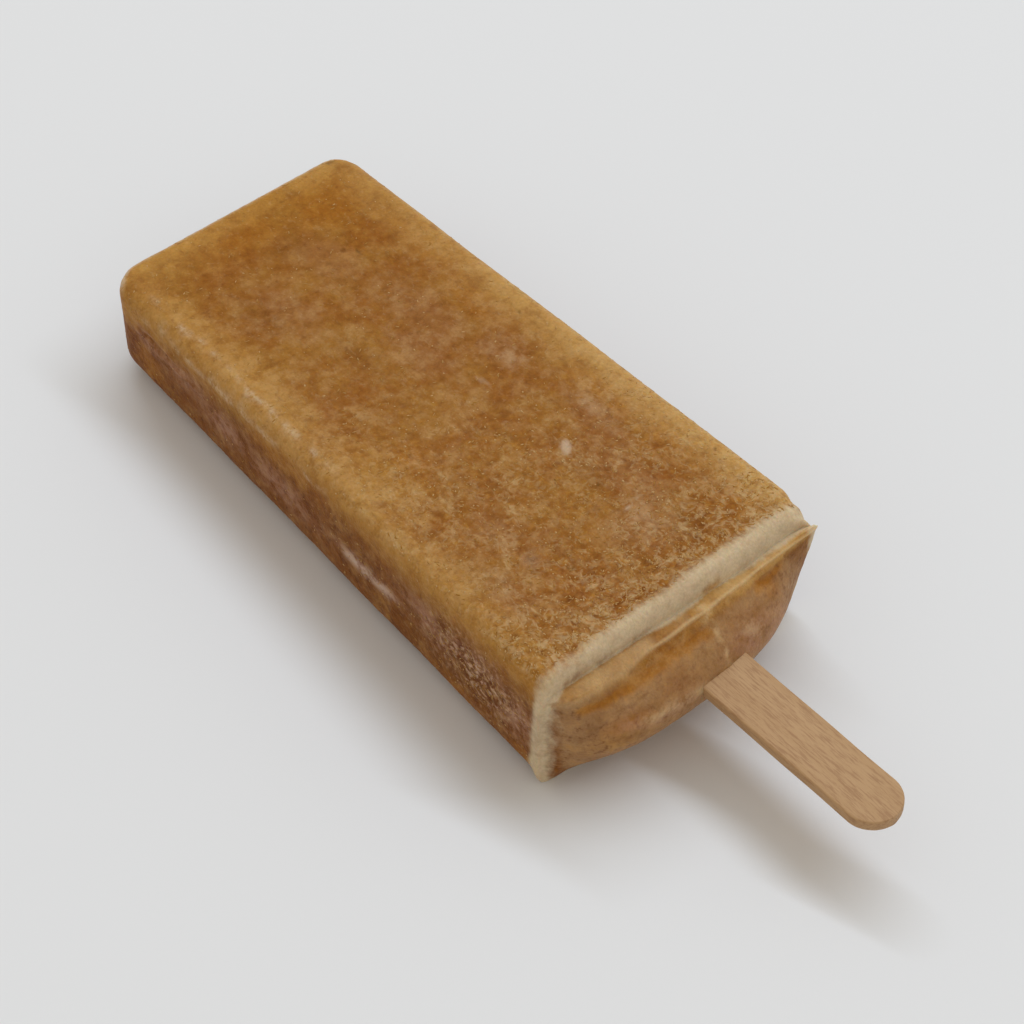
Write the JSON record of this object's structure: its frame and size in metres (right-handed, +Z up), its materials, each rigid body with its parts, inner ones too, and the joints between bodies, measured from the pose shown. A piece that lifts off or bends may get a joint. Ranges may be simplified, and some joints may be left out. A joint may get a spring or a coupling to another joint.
{
  "type": "ice lolly",
  "caption": "Moulded fruit ice lolly: a tapered block with rounded edges and a bulging end, frozen onto a flat wooden stick, lying on its broad side.",
  "frame": {"origin": "on the surface that the lolly lies on, under the middle of its bounding box", "axes": "+X along the stick, from the block's tip towards the stick's free end; +Z up, out of the block's broad side"},
  "size_m": [0.1576, 0.0536, 0.0254],
  "materials": {
    "frozen_fruit": "frozen caramel-coloured fruit ice, translucent, with fine frost",
    "birch": "plain sanded birch with fine lengthwise grain"
  },
  "bodies": {
    "root": {"frozen_block": "frozen_fruit", "stick": "birch"}
  },
  "joints": []
}
